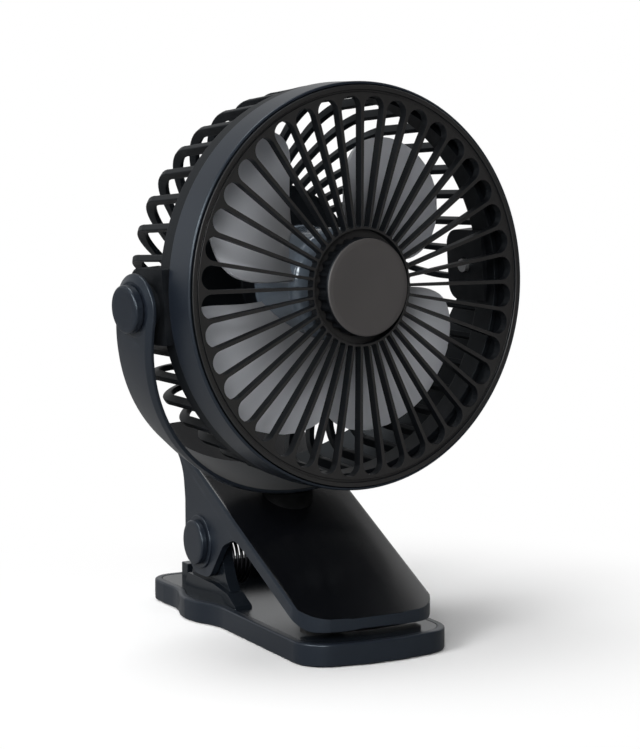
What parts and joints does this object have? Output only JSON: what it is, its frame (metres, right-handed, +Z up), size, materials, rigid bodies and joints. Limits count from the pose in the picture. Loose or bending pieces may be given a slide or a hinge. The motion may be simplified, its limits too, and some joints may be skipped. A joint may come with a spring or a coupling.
{
  "type": "clip fan",
  "caption": "Clip-on personal fan: a louvred round head with a swirled rear cage, in a U-shaped yoke that swivels on a sprung two-jaw clip.",
  "frame": {"origin": "on the flat underside of the lower jaw, on its centre line, straight below the tilt axis of the head", "axes": "+Z up, the fan blows towards -Y with the clip closed, +X to the right of someone facing along +Y"},
  "size_m": [0.1716, 0.1367, 0.2072],
  "materials": {
    "satin_black_plastic": "satin moulded",
    "warm_black_plastic": "fine satin moulded",
    "gloss_black_plastic": "gloss moulded",
    "grey_gloss_plastic": "gloss moulded",
    "black_rubber": "matt moulded",
    "black_nylon": "matt moulded",
    "smoke_grey_plastic": "semi-gloss moulded",
    "bright_steel": "plated",
    "dark_steel": "black oxide",
    "motor_iron": "bare",
    "sintered_bronze": "oiled",
    "circuit_board": "solder mask",
    "battery_foil": "matt foil",
    "clear_plastic": "translucent"
  },
  "bodies": {
    "lower_jaw": {"base_tray": "satin_black_plastic", "base_frame": "grey_gloss_plastic", "base_foot_pad": "black_rubber", "base_screw_1": "bright_steel", "base_screw_2": "bright_steel", "base_screw_3": "bright_steel", "base_screw_4": "bright_steel", "clip_spring": "dark_steel"},
    "upper_jaw": {"jaw_shell": "gloss_black_plastic", "jaw_grip_pad": "black_rubber", "clip_pin": "bright_steel", "clip_knob_right": "satin_black_plastic", "clip_knob_left": "satin_black_plastic", "battery_tray": "satin_black_plastic", "battery_cell": "battery_foil", "charge_board": "circuit_board", "charge_socket": "bright_steel"},
    "yoke": {"yoke": "satin_black_plastic", "tilt_knob_right": "satin_black_plastic", "tilt_knob_left": "satin_black_plastic", "swivel_washer": "bright_steel", "swivel_clip": "dark_steel"},
    "head": {"front_bezel": "satin_black_plastic", "front_grille": "warm_black_plastic", "front_cap": "warm_black_plastic", "rear_cage": "satin_black_plastic", "rear_cover": "satin_black_plastic", "light_ring": "clear_plastic", "control_board": "circuit_board", "switch_block": "dark_steel", "motor_can": "bright_steel", "motor_bush_front": "sintered_bronze", "motor_bush_rear": "sintered_bronze", "motor_end_cap": "black_nylon", "motor_magnet_right": "motor_iron", "motor_magnet_left": "motor_iron", "tilt_washer_right": "black_rubber", "tilt_washer_left": "black_rubber", "tilt_axle_right": "bright_steel", "tilt_axle_left": "bright_steel"},
    "impeller": {"impeller": "smoke_grey_plastic", "motor_shaft": "bright_steel", "motor_rotor": "motor_iron"},
    "power_button": {"power_button": "warm_black_plastic"}
  },
  "joints": [
    {"name": "clip_hinge", "type": "hinge", "parent": "lower_jaw", "child": "upper_jaw", "pos_m": [0, 0.0466, 0.0293], "axis": [-1, 0, 0], "range_deg": [0, 28], "stiffness_Nm_per_rad": 0.9, "springref_deg": -57.3, "deforming": ["clip_spring"]},
    {"name": "yoke_swivel", "type": "hinge", "parent": "upper_jaw", "child": "yoke", "pos_m": [0, 0, 0.1322], "axis": [0, -0.3156, 0.9489], "range_deg": [-187.7, 172.3]},
    {"name": "head_tilt", "type": "hinge", "parent": "yoke", "child": "head", "pos_m": [0, 0, 0.1322], "axis": [0.991, 0.1271, 0.0423], "range_deg": [-159, 201]},
    {"name": "impeller_spin", "type": "hinge", "parent": "head", "child": "impeller", "pos_m": [0, 0, 0.1322], "axis": [-0.1251, 0.991, -0.048], "continuous": true},
    {"name": "button_press", "type": "slide", "parent": "head", "child": "power_button", "axis": [0.1251, -0.991, 0.048], "range_m": [0, 0.0008], "stiffness_N_per_m": 400, "springref_m": -0.002}
  ]
}
